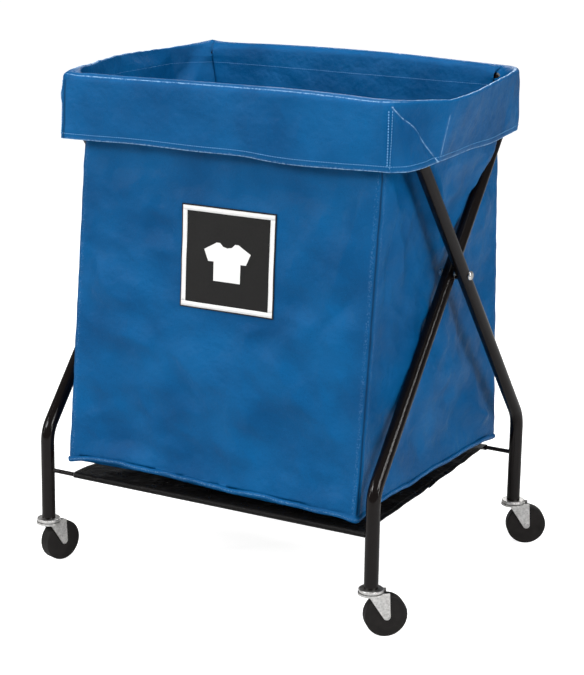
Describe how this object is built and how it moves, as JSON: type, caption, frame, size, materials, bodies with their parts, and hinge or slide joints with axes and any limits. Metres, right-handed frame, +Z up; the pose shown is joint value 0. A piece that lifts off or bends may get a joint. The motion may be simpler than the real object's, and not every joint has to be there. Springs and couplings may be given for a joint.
{
  "type": "folding laundry cart",
  "caption": "Folding X-frame laundry cart: a deep coated-fabric bag hung over two bent-tube frames, with a sling floor and swivel casters.",
  "frame": {"origin": "floor level, midway between the four feet, on the line that the cart matches itself about after half a turn", "axes": "+X to the cart's right seen from the labelled side, +Y from the labelled side to the back, +Z up"},
  "size_m": [0.8087, 0.6426, 0.9354],
  "materials": {
    "bag_vinyl": "blue vinyl-coated woven nylon, satin",
    "label": "black woven patch with a white border",
    "sling_vinyl": "black coated fabric, semi-gloss",
    "frame_enamel": "gloss black powder coat",
    "fastener_zinc": "bright zinc plate",
    "caster_zinc": "bright zinc plate, pressed steel",
    "bearing_steel": "polished steel",
    "wheel_rubber": "hard black rubber",
    "plug_nylon": "moulded black nylon"
  },
  "bodies": {
    "root": {"laundry_bag": "bag_vinyl", "label_patch": "label", "shelf_sling": "sling_vinyl", "pivot_bolt_right": "fastener_zinc", "pivot_washer_right": "fastener_zinc", "pivot_nut_right": "fastener_zinc", "pivot_bolt_left": "fastener_zinc", "pivot_washer_left": "fastener_zinc", "pivot_nut_left": "fastener_zinc"},
    "front_frame": {"front_foot_frame": "frame_enamel", "front_shelf_rod": "frame_enamel", "caster_stem_front_left": "caster_zinc", "caster_socket_front_left": "plug_nylon", "caster_stem_front_right": "caster_zinc", "caster_socket_front_right": "plug_nylon"},
    "rear_frame": {"rear_foot_frame": "frame_enamel", "rear_shelf_rod": "frame_enamel", "caster_stem_rear_left": "caster_zinc", "caster_socket_rear_left": "plug_nylon", "caster_stem_rear_right": "caster_zinc", "caster_socket_rear_right": "plug_nylon"},
    "swivel_front_left": {"caster_yoke_front_left": "caster_zinc", "caster_axle_front_left": "caster_zinc", "caster_balls_front_left": "bearing_steel"},
    "wheel_front_left": {"caster_wheel_front_left": "wheel_rubber", "caster_bush_front_left": "bearing_steel"},
    "swivel_front_right": {"caster_yoke_front_right": "caster_zinc", "caster_axle_front_right": "caster_zinc", "caster_balls_front_right": "bearing_steel"},
    "wheel_front_right": {"caster_wheel_front_right": "wheel_rubber", "caster_bush_front_right": "bearing_steel"},
    "swivel_rear_left": {"caster_yoke_rear_left": "caster_zinc", "caster_axle_rear_left": "caster_zinc", "caster_balls_rear_left": "bearing_steel"},
    "wheel_rear_left": {"caster_wheel_rear_left": "wheel_rubber", "caster_bush_rear_left": "bearing_steel"},
    "swivel_rear_right": {"caster_yoke_rear_right": "caster_zinc", "caster_axle_rear_right": "caster_zinc", "caster_balls_rear_right": "bearing_steel"},
    "wheel_rear_right": {"caster_wheel_rear_right": "wheel_rubber", "caster_bush_rear_right": "bearing_steel"}
  },
  "joints": [
    {"name": "rear_frame_fold", "type": "hinge", "parent": "root", "child": "rear_frame", "pos_m": [0, 0, 0.5933], "axis": [-1, 0, 0], "range_deg": [0, 22], "deforming": ["laundry_bag", "shelf_sling"]},
    {"name": "front_frame_fold", "type": "hinge", "parent": "root", "child": "front_frame", "pos_m": [0, 0, 0.5933], "axis": [1, 0, 0], "range_deg": [0, 22], "deforming": ["laundry_bag", "shelf_sling"]},
    {"name": "front_left_swivel", "type": "hinge", "parent": "front_frame", "child": "swivel_front_left", "pos_m": [-0.3555, -0.28, 0.08], "axis": [0, 0, 1], "continuous": true},
    {"name": "front_right_swivel", "type": "hinge", "parent": "front_frame", "child": "swivel_front_right", "pos_m": [0.3285, -0.28, 0.08], "axis": [0, 0, 1], "continuous": true},
    {"name": "rear_left_swivel", "type": "hinge", "parent": "rear_frame", "child": "swivel_rear_left", "pos_m": [-0.3285, 0.28, 0.08], "axis": [0, 0, 1], "continuous": true},
    {"name": "rear_right_swivel", "type": "hinge", "parent": "rear_frame", "child": "swivel_rear_right", "pos_m": [0.3555, 0.28, 0.08], "axis": [0, 0, 1], "continuous": true},
    {"name": "front_left_wheel_spin", "type": "hinge", "parent": "swivel_front_left", "child": "wheel_front_left", "pos_m": [-0.34825, -0.25472, 0.0381], "axis": [0.9613, -0.2756, 0], "continuous": true},
    {"name": "front_right_wheel_spin", "type": "hinge", "parent": "swivel_front_right", "child": "wheel_front_right", "pos_m": [0.34835, -0.26275, 0.0381], "axis": [0.6561, -0.7547, 0], "continuous": true},
    {"name": "rear_left_wheel_spin", "type": "hinge", "parent": "swivel_rear_left", "child": "wheel_rear_left", "pos_m": [-0.31456, 0.3023, 0.0381], "axis": [0.848, -0.5299, 0], "continuous": true},
    {"name": "rear_right_wheel_spin", "type": "hinge", "parent": "swivel_rear_right", "child": "wheel_rear_right", "pos_m": [0.37804, 0.29355, 0.0381], "axis": [0.515, -0.8572, 0], "continuous": true}
  ],
  "couplings": [
    {"joint": "front_frame_fold", "follows": "rear_frame_fold", "ratio": 1}
  ]
}
